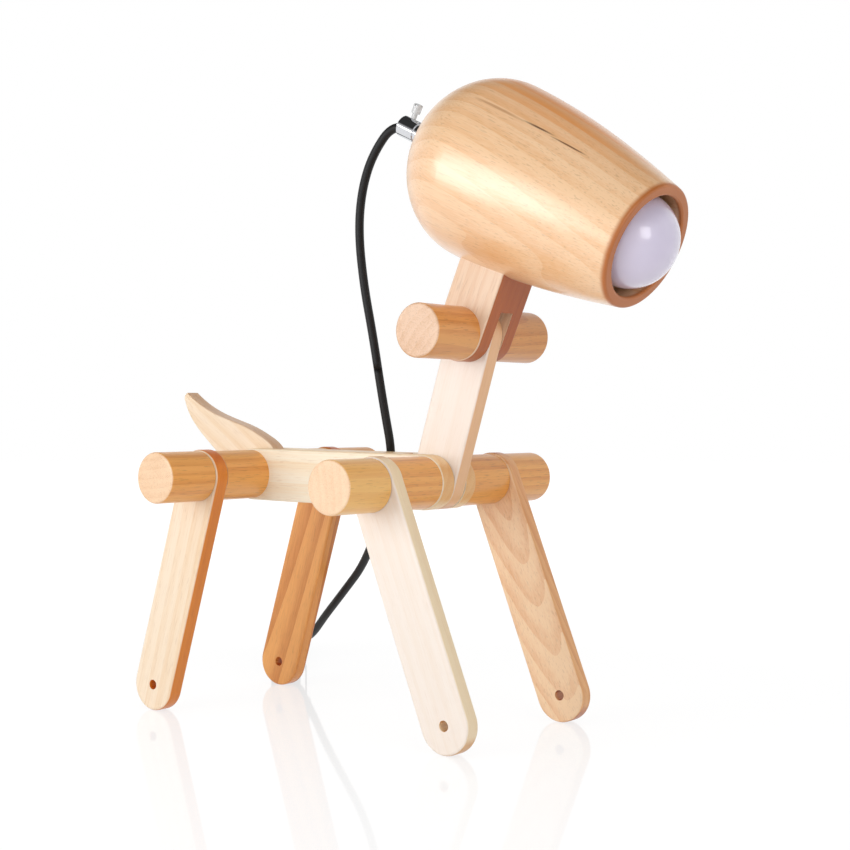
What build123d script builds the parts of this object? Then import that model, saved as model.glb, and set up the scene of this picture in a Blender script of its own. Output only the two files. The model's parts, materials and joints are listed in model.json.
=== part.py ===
from build123d import *
import math
import os

os.makedirs("parts", exist_ok=True)

# Body dowels, legs and spine
axle_spacing = 151.2
axle_length = 219
dowel_radius = 17
dowel_edge = 1.4
board_width = 36
board_edge = 1.6
leg_length = 153.2
leg_thickness = 11
leg_middle = 64.3
rear_lean = 17.55
front_lean = 21.2
foot_hole_radius = 3.4
spine_width = 36
rear_slot_depth = 30
front_slot_depth = 26

# Rods, washers and running play
rod_radius = 4
rod_tip_gap = 3
bore_play = 0.05
fixed_play = 0.1
washer_thickness = 0.5
washer_radius = 14
face_play = 0.05
insert_radius = 6.5
insert_length = 24
insert_start = 2
insert_bore_depth = 30

# Neck and tail boards
neck_length = 100.1
neck_thickness = 12
neck_lean = 17.5
tail_reach = 80.3
tail_rise = 59
tail_base_radius = 17
tail_edge = 1.2
tail_top_shares = [
    (-0.12, 0.3), (-0.035, 0.4), (0.05, 0.462), (0.16, 0.532), (0.41, 0.645), (0.66, 0.76), (0.86, 0.9),
]
tail_tip_shares = [(0.96, 0.995), (0.995, 0.955), (0.99, 0.885)]
tail_under_shares = [(0.9, 0.66), (0.72, 0.415), (0.5, 0.17), (0.27, -0.07)]
tail_front_angle = 135
tail_foot_angle = -62

# Head fork, head dowel
fork_lean = 23.7
fork_width = 36
fork_slot_height = 21.3
fork_block_height = 72
head_dowel_length = 122
head_offset = 99.1
rim_ahead = 91.3
head_tilt = 27.2
fork_screw_radius = 2
fork_screw_head_radius = 4
fork_screw_head_height = 2.4
fork_screw_length = 28
fork_screw_start = 52.5
fork_screw_spacing = 18

# Shade
shade_rim_radius = 39.3
shade_rim_wall = 6.9
shade_radius = 58.8
shade_length = 178
shade_widest_share = 0.69045
shade_widest = shade_length * shade_widest_share
shade_bulge_shares = [(1 / 3, 0.49), (2 / 3, 0.8385)]
shade_rim_edge = 1.6
cavity_radius = 46
cavity_straight_before = 22.9
cavity_straight_after = 3.1
cavity_back_wall = 23
cavity_depth = shade_length - cavity_back_wall
cavity_floor_radius = 26

# Threaded tube, nuts and cord grip
tube_radius = 5
tube_bore = 3.4
tube_hold = 8
tube_proud = 18
tube_end = shade_length + tube_proud
tube_play = 0.2
nut_width = 14
nut_height = 4
inner_washer_radius = 10
back_washer_radius = 9.5
metal_washer_thickness = 1.5
grip_radius = 7.2
grip_proud = 29.8
grip_end = shade_length + grip_proud
grip_edge = 1.2
grip_groove_radius = 6.5
grip_groove_start = 12
grip_groove_width = 2
thumb_screw_proud = 23
thumb_screw_at = shade_length + thumb_screw_proud
thumb_screw_radius = 1.8
thumb_screw_head_radius = 3.1
thumb_screw_head_height = 6.5
thumb_screw_head_edge = 0.8
thumb_screw_tip = 3.4
thumb_screw_neck = 10.8
thumb_slot_width = 1
thumb_slot_depth = 1.4

# Lamp holder, set off from the nut at the back of the shade
holder_gap = 22.5
holder_back = cavity_depth - metal_washer_thickness - nut_height - holder_gap
holder_cap_length = 21
holder_seam = holder_back - holder_cap_length
holder_radius = 20.5
holder_wall = 2
holder_neck_radius = 8
holder_neck_length = 5
holder_cap_floor = 4
holder_rib_width = 1.6
holder_rib_height = 0.7
holder_rib_count = 24
core_radius = 18
core_proud = 7
core_floor = holder_seam - core_proud
core_back = 9
core_end = core_floor + core_back
contact_width = 6
contact_length = 15
contact_height = 1.6
contact_rise = 1.4
contact_gap = 0.8
tube_start = holder_back - tube_hold

# Bulb, standing in the holder
bulb_tip_end = core_floor - contact_height - contact_rise - contact_gap
bulb_tip_length = 2.2
bulb_tip_radius = 4.4
bulb_insulator_end = bulb_tip_end - bulb_tip_length
bulb_insulator_length = 4
bulb_insulator_radius = 5.5
bulb_cap_end = bulb_insulator_end - bulb_insulator_length
bulb_cap_length = 23
bulb_cap_radius = 13.1
bulb_cap_wall = 0.6
housing_end = bulb_cap_end - bulb_cap_length
housing_neck_length = 14
housing_waist = housing_end - housing_neck_length
housing_waist_radius = 17
housing_length = 32
housing_wall = 2
dome_end = housing_waist - housing_length
dome_wall = 1.4
bulb_radius = 30
bulb_dome_length = 36.4
bulb_front = bulb_dome_length - dome_end
led_board_radius = 26.4
led_board_thickness = 2
led_rows = 10
led_ring_radius = 18
led_size = 2.8
led_height = 0.9
holder_cover = 18
holder_front = bulb_cap_end - holder_cover
core_set_back = 3
core_start = holder_front + core_set_back
thread_shell_radius = 14.6
thread_shell_wall = 0.8
thread_shell_set_back = 2
thread_shell_start = holder_front + thread_shell_set_back

# Cord and its route
cord_diameter = 6
cord_radius = cord_diameter / 2
arc_share = 0.45
cord_core_gap = 3
grip_cord_proud = 21.1
grip_inside = shade_length + grip_cord_proud
grip_corner_proud = 37
grip_corner = shade_length + grip_corner_proud
upper_route = [
    (-26.8, 1.6, 381.6), (-38.8, 4.4, 359), (-44.8, 7.8, 331),
    (-43.8, 12, 294.6), (-39.5, 16.4, 260), (-37.4, 19.1, 237),
]
middle_first_run = 23.3
switch_point = (-43.9, 37.5, 154.4)
switch_direction = (-0.586, 0.437, -0.682)
switch_run_in = 24
switch_run_out = 36
switch_hold = 3
lower_route = [(-130.9, 87, 67.6), (-155.4, 97, 49.5)]
gap_step = 1.5
gap_skip = 25

# In-line switch
switch_length = 45
switch_width = 20
switch_height = 15.5
switch_corner = 4
switch_edge = 1.5
switch_wall = 1.8
switch_split_share = 0.45
switch_relief_radius = 4.6
switch_relief_length = 5
rocker_length = 17
rocker_width = 9
rocker_rise = 1.6
rocker_play = 0.7
rocker_side_play = 0.3
rocker_depth = 7
rocker_edge = 1
rocker_turn = 8
rocker_pivot_depth = 1.5
rocker_lug = 2
rocker_lug_height = 4.4
rocker_pin_radius = 1.2
rocker_pin_length = 1.4
switch_post_height = 2.6
switch_post_width = 4
switch_post_spacing = 14

# Hank of spare cord
hank_centre = (-255.4, 166.9)
hank_heading = (-0.649, 0.761)
hank_fold_radius = 18
hank_half_length = 54
hank_waist_half = 11
hank_pitch = 6.9
hank_turns = 3
hank_start_along = -68
hank_start_aside = 15.4
hank_start_height = 26.5
hank_start_way = (0.94, -0.22, -0.24)
hank_exit_climb = 26
hank_exit_run = 9
hank_run_in = 26
hank_lead = 6
tie_width = 12
tie_thickness = 1.2
tie_corner = 4.2
tie_play = 0.4
tie_slack = 0.9

# Plug
plug_along = -1
plug_aside = 4
plug_height = 50.4
plug_hold = 6
plug_relief_radius = 4.8
plug_relief_base_radius = 6.5
plug_relief_length = 20
plug_width = 24
plug_thickness = 16
plug_length = 32
plug_edge = 4
plug_shoulder = 2.5
blade_length = 17
blade_width = 6.3
blade_thickness = 1.5
blade_spacing = 12.7
blade_root = 9
blade_hole_radius = 1.6
blade_hole_from_tip = 5

# Derived positions, with the origin under the middle of the object
rear_height = leg_length * math.cos(math.radians(rear_lean)) + board_width / 2
front_height = leg_length * math.cos(math.radians(front_lean)) + board_width / 2
tilt = math.radians(head_tilt)
ahead = Vector(math.cos(tilt), 0, -math.sin(tilt))
above = Vector(math.sin(tilt), 0, math.cos(tilt))
neck_turn = math.radians(neck_lean)
head_from_front = Vector(math.sin(neck_turn), 0, math.cos(neck_turn)) * neck_length
rim_from_front = head_from_front + above * head_offset + ahead * rim_ahead
rim_reach = (shade_rim_radius - shade_rim_edge) * math.sin(tilt) + shade_rim_edge * (1 - math.cos(tilt))
bulb_reach = bulb_radius - (bulb_radius - bulb_front) * math.cos(tilt)
front_reach = rim_from_front.X + max(rim_reach, bulb_reach)
rear_axle = Vector((tail_reach - axle_spacing - front_reach) / 2, 0, rear_height)
front_axle = Vector(rear_axle.X + axle_spacing, 0, front_height)
head_axle = front_axle + head_from_front
rim = front_axle + rim_from_front
head_frame = Plane(origin=rim, x_dir=above, z_dir=ahead * -1)
body_half = spine_width / 2
leg_inner = leg_middle - leg_thickness / 2
leg_outer = leg_middle + leg_thickness / 2
washer_gap = washer_thickness + face_play
slot_half = neck_thickness / 2 + washer_gap


def save(shapes, node):
    """Write one node's solids as a STEP file."""
    solids = []
    for shape in shapes if isinstance(shapes, (list, tuple)) else [shapes]:
        solids.extend(shape.solids())
    whole = solids[0] if len(solids) == 1 else Compound(children=solids)
    export_step(whole, f"parts/{node}.step")
    box = whole.bounding_box()
    print(node, len(solids), [round(v, 1) for v in (*box.min, *box.max)])


def across(radius, start, end, centre):
    """Cylinder along Y between two Y positions, round a point's X and Z."""
    plane = Plane(origin=(centre.X, min(start, end), centre.Z), x_dir=(1, 0, 0), z_dir=(0, 1, 0))
    return plane * Cylinder(radius, abs(end - start), align=(Align.CENTER, Align.CENTER, Align.MIN))


def ring(outer, inner, start, end, centre):
    """Tube along Y between two Y positions."""
    return across(outer, start, end, centre) - across(inner, start, end, centre)


def board(pivot, direction, length, middle, thickness, width):
    """Board with two round ends from a pivot along a direction, its thickness along Y."""
    plane = Plane(origin=(pivot.X, middle, pivot.Z), x_dir=direction, z_dir=(0, 1, 0))
    outline = Pos(length / 2, 0, 0) * SlotCenterToCenter(length, width)
    slab = plane * extrude(outline, thickness / 2, both=True)
    return fillet(slab.faces().filter_by(Axis.Y).edges(), board_edge)


def turned(points):
    """Solid of revolution from radius and depth pairs, placed on the shade's axis."""
    line = Polyline(*[(r, 0, t) for r, t in points], close=True)
    return head_frame * revolve(make_face(line), Axis.Z)


def turned_tube(inner, outer, start, end):
    """Plain ring or tube on the shade's axis."""
    return turned([(inner, start), (outer, start), (outer, end), (inner, end)])


def tube_along(route, radii, diameter):
    """Round tube along straight runs joined by tangent arcs."""
    path = FilletPolyline(*route, radius=radii) if radii else Line(route[0], route[1])
    start = path % 0
    section = Plane(origin=path @ 0, z_dir=start) * Circle(diameter / 2)
    return sweep(section, path=path)


def bend_radii(route):
    """Radius of each corner's arc from the shorter run beside it and the turn."""
    spots = [Vector(*p) for p in route]
    radii = []
    for before, here, after in zip(spots, spots[1:], spots[2:]):
        run_in, run_out = here - before, after - here
        turn = math.radians(run_in.get_angle(run_out))
        radii.append(arc_share * min(run_in.length, run_out.length) / math.tan(turn / 2))
    return radii


def route_length(route, radii):
    """Length along the middle of a route with its rounded corners."""
    return (FilletPolyline(*route, radius=radii) if radii else Line(*route)).length


def save_trunk():
    """Spine, dowel pieces, rods, inserts and washers."""
    line = front_axle - rear_axle
    spine = board(rear_axle, line.normalized(), line.length, 0, spine_width, board_width)
    for axle, way, depth in ((rear_axle, -1, rear_slot_depth), (front_axle, 1, front_slot_depth)):
        slot = Box(depth + board_width, slot_half * 2, board_width * 2)
        frame = Plane(origin=axle, x_dir=line.normalized() * way, z_dir=(0, 0, 1))
        spine -= frame * (Pos((board_width - depth) / 2, 0, 0) * slot)
        spine -= across(rod_radius + fixed_play, -body_half, body_half, axle)
    save(spine, "spine")
    washers = []
    inserts = []
    for name, axle in (("rear", rear_axle), ("front", front_axle)):
        rod_end = leg_outer + washer_gap + insert_bore_depth - rod_tip_gap
        save(across(rod_radius, -rod_end, rod_end, axle), f"{name}_rod")
        for side, way in (("right", -1), ("left", 1)):
            spacer = across(dowel_radius, body_half * way, (leg_inner - washer_gap) * way, axle)
            spacer -= across(rod_radius + fixed_play, body_half * way, leg_inner * way, axle)
            save(spacer, f"{name}_{side}_spacer")
            stub_start = leg_outer + washer_gap
            save(stub(axle, stub_start, axle_length / 2, way), f"{name}_{side}_stub")
            inserts.append(insert(axle, stub_start, way))
            for gap in (leg_inner - washer_gap, leg_outer + face_play):
                washers.append(disc(axle, gap, way))
        for way in (-1, 1):
            washers.append(disc(axle, neck_thickness / 2 + face_play, way))
    save(washers, "trunk_washers")
    save(inserts, "trunk_inserts")


def stub(axle, start, end, way):
    """Outer dowel piece with a rounded end edge and a blind bore."""
    body = across(dowel_radius, start * way, end * way, axle)
    rim_edges = body.edges().filter_by(GeomType.CIRCLE).sort_by(Axis.Y)
    body = fillet(rim_edges[-1] if way > 0 else rim_edges[0], dowel_edge)
    return body - across(insert_radius, start * way, (start + insert_bore_depth) * way, axle)


def insert(axle, start, way):
    """Threaded insert that holds a rod's end in a stub."""
    near, far = (start + insert_start) * way, (start + insert_start + insert_length) * way
    return ring(insert_radius, rod_radius, near, far, axle)


def disc(axle, start, way):
    """Fibre washer beside a turning board."""
    bore = rod_radius + fixed_play
    return ring(washer_radius, bore, start * way, (start + washer_thickness) * way, axle)


def save_boards():
    """Legs, neck and tail, each bored for its rod."""
    bore = rod_radius + bore_play
    for name, axle, lean in (("rear", rear_axle, -rear_lean), ("front", front_axle, front_lean)):
        down = Vector(math.sin(math.radians(lean)), 0, -math.cos(math.radians(lean)))
        for side, way in (("right", -1), ("left", 1)):
            leg = board(axle, down, leg_length, leg_middle * way, leg_thickness, board_width)
            leg -= across(bore, leg_inner * way, leg_outer * way, axle)
            leg -= across(foot_hole_radius, leg_inner * way, leg_outer * way, axle + down * leg_length)
            save(leg, f"{name}_{side}_leg")
    neck = board(front_axle, head_from_front.normalized(), neck_length, 0, neck_thickness, board_width)
    for axle in (front_axle, head_axle):
        neck -= across(bore, -neck_thickness / 2, neck_thickness / 2, axle)
    save(neck, "neck")
    save(tail_board(bore), "tail")


def tail_board(bore):
    """Curved tail board round the rear rod."""
    frame = Plane(origin=rear_axle, x_dir=(-1, 0, 0), z_dir=(0, 1, 0))

    def on_base(angle):
        turn = math.radians(angle)
        return (tail_base_radius * math.cos(turn), tail_base_radius * math.sin(turn))

    def spots(shares):
        return [(x * tail_reach, z * tail_rise) for x, z in shares]

    tip = spots(tail_tip_shares)
    front, foot = on_base(tail_front_angle), on_base(tail_foot_angle)
    edges = [
        Spline(front, *spots(tail_top_shares), tip[0]),
        ThreePointArc(*tip),
        Spline(tip[-1], *spots(tail_under_shares), foot),
        ThreePointArc(foot, on_base((tail_front_angle + tail_foot_angle) / 2 + 180), front),
    ]
    outline = make_face(Wire([part.edge() for part in edges]))
    slab = frame * extrude(outline, neck_thickness / 2, both=True)
    slab = fillet(slab.faces().filter_by(Axis.Y).edges(), tail_edge)
    return slab - across(bore, -neck_thickness / 2, neck_thickness / 2, rear_axle)


def shade_body():
    """Outer form of the shade as one solid on its own axis."""
    swell = shade_radius - shade_rim_radius
    bulges = [(shade_rim_radius + r * swell, 0, t * shade_widest) for t, r in shade_bulge_shares]
    front = Spline((shade_rim_radius, 0, 0), *bulges, (shade_radius, 0, shade_widest))
    back_depth = shade_length - shade_widest
    middle = (0, shade_widest)
    round_back = EllipticalCenterArc(middle, shade_radius, back_depth, start_angle=0, arc_size=90)
    back = Plane(origin=(0, 0, 0), x_dir=(1, 0, 0), z_dir=(0, -1, 0)) * round_back
    axis = Line((0, 0, shade_length), (0, 0, 0))
    face = Line((0, 0, 0), (shade_rim_radius, 0, 0))
    return revolve(make_face(Wire([front.edge(), back.edge(), axis.edge(), face.edge()])), Axis.Z)


def save_head():
    """Fork, head dowel, shade and what holds them together."""
    whole = shade_body()
    flat = shade_length - shade_flat_depth()
    cut = Box(shade_radius, shade_radius, shade_radius, align=(Align.CENTER, Align.CENTER, Align.MIN))
    whole -= Pos(0, 0, flat) * cut
    outer = head_frame * whole
    inner_radius = shade_rim_radius - shade_rim_wall
    hollow = [
        (0, -shade_rim_edge), (inner_radius, -shade_rim_edge), (inner_radius, 0),
        (cavity_radius, shade_widest - cavity_straight_before),
        (cavity_radius, shade_widest + cavity_straight_after),
        (cavity_floor_radius, cavity_depth), (0, cavity_depth),
    ]
    shade = head_frame.to_local_coords(outer - turned(hollow))
    near = shade_rim_edge / 2
    rim_edges = shade.edges().filter_by(GeomType.CIRCLE).filter_by_position(Axis.Z, -near, near)
    shade = head_frame * fillet(rim_edges, shade_rim_edge)
    shade -= turned([(0, cavity_depth - tube_play), (tube_radius + tube_play, cavity_depth - tube_play),
                     (tube_radius + tube_play, shade_length), (0, shade_length)])
    rise = Vector(math.sin(math.radians(fork_lean)), 0, math.cos(math.radians(fork_lean)))
    side = Vector(math.cos(math.radians(fork_lean)), 0, -math.sin(math.radians(fork_lean)))
    frame = Plane(origin=head_axle, x_dir=rise, z_dir=(0, 1, 0))
    outline = Pos(fork_block_height / 2, 0, 0) * Rectangle(fork_block_height, fork_width)
    outline += Circle(fork_width / 2)
    fork = frame * extrude(outline, fork_width / 2, both=True)
    fork = fillet(fork.faces().filter_by(Axis.Y).edges(), board_edge)
    slot = Box(fork_width + fork_slot_height, fork_width * 2, slot_half * 2)
    fork -= frame * (Pos((fork_slot_height - fork_width) / 2, 0, 0) * slot)
    fork -= outer
    fork -= across(rod_radius + fixed_play, -body_half, body_half, head_axle)
    screws = []
    for way in (-1, 1):
        top = head_axle + rise * fork_screw_start + side * (fork_screw_spacing / 2 * way)
        line = Plane(origin=top, x_dir=(0, 1, 0), z_dir=rise * -1)
        low = (Align.CENTER, Align.CENTER, Align.MIN)
        shank = line * Cylinder(fork_screw_radius, fork_screw_length, align=low)
        head = line * Cylinder(fork_screw_head_radius, fork_screw_head_height, align=low)
        high = (Align.CENTER, Align.CENTER, Align.MAX)
        room = Cylinder(fork_screw_head_radius + fixed_play, cavity_radius, align=high)
        room = line * (Pos(0, 0, fork_screw_head_height) * room)
        shade -= shank + room
        fork -= shank
        screws.append(shank + head)
    save(shade, "shade")
    save(fork, "head_fork")
    save(screws, "fork_screws")
    half = head_dowel_length / 2
    rod_end = fork_width / 2 + insert_bore_depth - rod_tip_gap
    save(across(rod_radius, -rod_end, rod_end, head_axle), "head_rod")
    for name, way in (("right", -1), ("left", 1)):
        save(stub(head_axle, fork_width / 2, half, way), f"head_{name}_stub")
    save([insert(head_axle, fork_width / 2, way) for way in (-1, 1)], "head_inserts")
    save([disc(head_axle, neck_thickness / 2 + face_play, way) for way in (-1, 1)], "head_washers")


def shade_flat_depth():
    """Depth of the small flat that the back washer lies on."""
    share = back_washer_radius / shade_radius
    return (shade_length - shade_widest) * (1 - math.sqrt(1 - share * share))


def save_fittings():
    """Threaded tube, washers, nut, cord grip and its thumb screw."""
    flat = shade_length - shade_flat_depth()
    save(turned_tube(tube_bore, tube_radius, tube_start, tube_end), "threaded_tube")
    hole = tube_radius + fixed_play
    floor = cavity_depth - metal_washer_thickness
    save(turned_tube(hole, inner_washer_radius, floor, cavity_depth), "inner_washer")
    nut = extrude(RegularPolygon(nut_width / 2, 6, major_radius=False) - Circle(hole), nut_height)
    save(head_frame * (Pos(0, 0, floor - nut_height) * nut), "inner_nut")
    grip_start = flat + metal_washer_thickness
    save(turned_tube(hole, back_washer_radius, flat, grip_start), "back_washer")
    groove = grip_start + grip_groove_start
    grip = turned([
        (hole, grip_start), (grip_radius, grip_start), (grip_radius, groove), (grip_groove_radius, groove),
        (grip_groove_radius, groove + grip_groove_width), (grip_radius, groove + grip_groove_width),
        (grip_radius, grip_end - grip_edge), (grip_radius - grip_edge, grip_end),
        (cord_radius + fixed_play, grip_end), (cord_radius + fixed_play, tube_end), (hole, tube_end),
    ])
    spot = rim - ahead * thumb_screw_at
    line = Plane(origin=spot, x_dir=ahead, z_dir=above)
    low = (Align.CENTER, Align.CENTER, Align.MIN)
    hole_bar = Cylinder(thumb_screw_radius + bore_play, thumb_screw_neck, align=low)
    grip -= line * hole_bar
    save(grip, "cord_grip")
    shank = Cylinder(thumb_screw_radius, thumb_screw_neck - thumb_screw_tip, align=low)
    shank = Pos(0, 0, thumb_screw_tip) * shank
    head = Cylinder(thumb_screw_head_radius, thumb_screw_head_height, align=low)
    head = fillet(head.edges().filter_by(GeomType.CIRCLE), thumb_screw_head_edge)
    high = (Align.CENTER, Align.CENTER, Align.MAX)
    slot = Box(thumb_slot_width, thumb_screw_head_radius * 2, thumb_slot_depth, align=high)
    head -= Pos(0, 0, thumb_screw_head_height) * slot
    save(line * (shank + Pos(0, 0, thumb_screw_neck) * head), "thumb_screw")


def save_holder():
    """Lamp holder parts on the shade's axis."""
    inner = holder_radius - holder_wall
    shell = turned_tube(inner, holder_radius, holder_front, holder_seam)
    stand = (Align.MIN, Align.CENTER, Align.MIN)
    rib = Box(holder_rib_height, holder_rib_width, holder_seam - holder_front, align=stand)
    rib = Pos(holder_radius - fixed_play, 0, holder_front) * rib
    for turn in range(holder_rib_count):
        shell += head_frame * (Rot(0, 0, turn * 360 / holder_rib_count) * rib)
    save(shell, "holder_shell")
    hole = tube_radius + fixed_play
    neck_start = holder_back - holder_neck_length
    cap_inner = neck_start - holder_cap_floor
    save(turned([
        (inner, holder_seam), (holder_radius, holder_seam),
        (holder_radius, neck_start - holder_neck_length), (holder_neck_radius, neck_start),
        (holder_neck_radius, holder_back), (hole, holder_back), (hole, cap_inner),
        (inner, cap_inner - holder_neck_length),
    ]), "holder_cap")
    outer = core_radius
    core_bore = thread_shell_radius + fixed_play
    save(turned([
        (core_bore, core_start), (outer, core_start), (outer, core_end), (0, core_end), (0, core_floor),
        (core_bore, core_floor),
    ]), "holder_core")
    thin = thread_shell_radius - thread_shell_wall
    save(turned_tube(thin, thread_shell_radius, thread_shell_start, core_floor), "thread_shell")
    high = (Align.CENTER, Align.CENTER, Align.MAX)
    strip = Box(contact_width, contact_length, contact_height, align=high)
    dimple = Cylinder(contact_width / 2, contact_rise, align=high)
    tongue = Pos(0, 0, core_floor) * strip + Pos(0, 0, core_floor - contact_height) * dimple
    save(head_frame * tongue, "centre_contact")


def save_bulb():
    """Bulb pieces on the shade's axis."""
    centre = bulb_radius - bulb_front
    ball = Pos(0, 0, centre) * (Sphere(bulb_radius) - Sphere(bulb_radius - dome_wall))
    keep = Cylinder(bulb_radius * 2, bulb_radius * 4, align=(Align.CENTER, Align.CENTER, Align.MAX))
    save(head_frame * (ball & Pos(0, 0, dome_end) * keep), "bulb_dome")
    wide = math.sqrt(bulb_radius ** 2 - (dome_end - centre) ** 2)
    neck = bulb_cap_radius - bulb_cap_wall
    save(turned([
        (wide - housing_wall, dome_end), (wide, dome_end), (housing_waist_radius, housing_waist),
        (bulb_cap_radius + bulb_cap_wall, housing_end), (neck, housing_end),
        (neck - housing_wall, housing_end), (housing_waist_radius - housing_wall, housing_waist),
    ]), "bulb_housing")
    cap_back = bulb_cap_end + bulb_cap_wall
    save(turned([
        (neck, housing_end), (bulb_cap_radius, housing_end), (bulb_cap_radius, bulb_cap_end),
        (bulb_insulator_radius, cap_back), (bulb_insulator_radius, bulb_cap_end),
        (neck, bulb_cap_end - bulb_cap_wall),
    ]), "bulb_cap")
    save(turned([
        (0, bulb_cap_end), (bulb_insulator_radius, bulb_cap_end), (bulb_insulator_radius, cap_back),
        (bulb_tip_radius, bulb_insulator_end), (0, bulb_insulator_end),
    ]), "bulb_insulator")
    save(turned([
        (0, bulb_insulator_end), (bulb_tip_radius, bulb_insulator_end),
        (bulb_tip_radius / 2, bulb_tip_end), (0, bulb_tip_end),
    ]), "bulb_tip")
    plate = Cylinder(led_board_radius, led_board_thickness, align=(Align.CENTER, Align.CENTER, Align.MIN))
    chip = Box(led_size, led_size, led_height, align=(Align.CENTER, Align.CENTER, Align.MAX))
    for turn in range(led_rows):
        plate += Rot(0, 0, turn * 360 / led_rows) * Pos(led_ring_radius, 0, 0) * chip
    save(head_frame * (Pos(0, 0, dome_end) * plate), "led_board")


def save_cords():
    """Cord from the holder to the switch, and from the switch to the hank."""
    inside = [rim - ahead * (core_end + cord_core_gap), rim - ahead * grip_inside]
    save(tube_along(inside, [], cord_diameter), "cord_inner")
    upper = [inside[1], rim - ahead * grip_corner] + [Vector(*p) for p in upper_route]
    hang = (upper[-1] - upper[-2]).normalized()
    along = Vector(*switch_direction).normalized()
    top = Vector(*switch_point)
    middle = [upper[-1], upper[-1] + hang * middle_first_run]
    middle += [top - along * switch_run_in, top + along * switch_hold]
    lower = [top + along * (switch_length - switch_hold), top + along * (switch_length + switch_run_out)]
    lower += [Vector(*p) for p in lower_route]
    frame, start, way = hank_start()
    lower += [start - way * hank_run_in, start]
    for node, route in (("cord_upper", upper), ("cord_middle", middle), ("cord_lower", lower)):
        radii = bend_radii(route)
        print(node, "length", round(route_length(route, radii), 1), "radii", [round(r, 1) for r in radii])
        save(tube_along(route, radii, cord_diameter), node)
        for spot in route:
            print("   ", [round(v, 1) for v in spot])


def hank_start():
    """Frame of the hank, and the point and direction where the cord enters it."""
    frame = Plane(origin=(*hank_centre, 0), x_dir=(*hank_heading, 0), z_dir=(0, 0, 1))
    start = frame.from_local_coords(Vector(hank_start_along, -hank_start_aside, hank_start_height))
    along, aside, dip = hank_start_way
    way = (frame.x_dir * along - frame.y_dir * aside + frame.z_dir * dip).normalized()
    return frame, start, way


def biarc(start, start_way, end, end_way):
    """Two tangent arcs between two points with their directions."""
    chord = end - start
    both = start_way + end_way
    bend = 2 * (1 - start_way.dot(end_way))
    reach = chord.dot(both)
    if bend < 1e-9:
        step = chord.dot(chord) / (2 * reach)
    else:
        step = (math.sqrt(reach * reach + bend * chord.dot(chord)) - reach) / bend
    first, last = start + start_way * step, end - end_way * step
    joint = (first + last) * 0.5
    return [
        Edge.make_tangent_arc(start, start_way, joint),
        Edge.make_tangent_arc(joint, (last - first).normalized(), end),
    ]


def hank_edges():
    """Lines and arcs along the middle of the hank's cord, in the world frame."""
    frame, start, way = hank_start()
    big = hank_fold_radius
    waist = hank_waist_half
    half = hank_half_length
    middle = cord_radius + big
    hollow = (half * half + waist * waist - big * big) / (2 * (big - waist))
    lean = math.atan2(half, hollow + waist)
    touch, rise = half - big * math.sin(lean), big * math.cos(lean)
    cos, sin = math.cos(lean), math.sin(lean)
    climb = math.radians(hank_exit_climb)
    climb_cos, climb_sin = math.cos(climb), math.sin(climb)

    def spot(along, layer, up):
        return frame.from_local_coords(Vector(along, -(hank_turns / 2 - layer) * hank_pitch, middle + up))

    def course(along, up):
        return frame.x_dir * along + frame.z_dir * up

    edges = [Edge.make_line(start, start + way * hank_lead)]
    here, heading = start + way * hank_lead, way
    for layer in range(1, hank_turns + 1):
        far_top = spot(touch, layer, rise)
        edges += biarc(here, heading, far_top, course(cos, sin))
        far_end = spot(half + big, layer, 0)
        edges.append(Edge.make_tangent_arc(far_top, course(cos, sin), far_end))
        far_low = spot(touch, layer, -rise)
        edges.append(Edge.make_tangent_arc(far_end, course(0, -1), far_low))
        near_low = spot(-touch, layer, -rise)
        edges.append(Edge.make_tangent_arc(far_low, course(-cos, sin), near_low))
        near_end = spot(-half - big, layer, 0)
        edges.append(Edge.make_tangent_arc(near_low, course(-cos, -sin), near_end))
        here, heading = spot(-touch, layer, rise), course(cos, -sin)
        if layer == hank_turns:
            here = spot(-half - big * climb_sin, layer, big * climb_cos)
            heading = course(climb_cos, climb_sin)
        edges.append(Edge.make_tangent_arc(near_end, course(0, 1), here))
    plug = frame.from_local_coords(Vector(plug_along, -plug_aside, plug_height))
    edges.append(Edge.make_line(here, here + heading * hank_exit_run))
    edges += biarc(here + heading * hank_exit_run, heading, plug, course(1, 0))
    edges.append(Edge.make_line(plug, plug + course(1, 0) * plug_hold))
    return edges


def least_gap(edges):
    """Least free distance between two stretches of the hank's cord."""
    spots = []
    run = 0
    for edge in edges:
        count = max(2, round(edge.length / gap_step))
        spots += [(run + edge.length * i / count, edge @ (i / count)) for i in range(count)]
        run += edge.length
    least = run
    for i, (first_at, first) in enumerate(spots):
        for second_at, second in spots[i + 1:]:
            if second_at - first_at > gap_skip:
                least = min(least, (second - first).length - cord_diameter)
    return least, run


def save_hank():
    """Tied hank of spare cord."""
    edges = hank_edges()
    gap, run = least_gap(edges)
    radii = sorted({round(e.radius, 1) for e in edges if e.geom_type == GeomType.CIRCLE})
    print("cord_hank length", round(run, 1), "radii", radii, "least gap", round(gap, 2))
    section = Plane(origin=edges[0] @ 0, z_dir=edges[0] % 0) * Circle(cord_radius)
    save(sweep(section, path=Wire(edges)), "cord_hank")
    frame, _, _ = hank_start()
    right, left = hank_pitch + tie_slack, hank_turns / 2 * hank_pitch
    wide = right + left + cord_diameter + tie_play * 2
    tall = hank_waist_half * 2 + cord_diameter + tie_play * 2
    centre = Vector(-tie_width / 2, (left - right) / 2, cord_radius + hank_fold_radius)
    middle = Plane(origin=frame.from_local_coords(centre), x_dir=frame.y_dir, z_dir=frame.x_dir)
    loop = RectangleRounded(wide + tie_thickness * 2, tall + tie_thickness * 2, tie_corner)
    loop -= RectangleRounded(wide, tall, tie_corner - tie_thickness)
    save(middle * extrude(loop, tie_width), "hank_tie")


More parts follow.
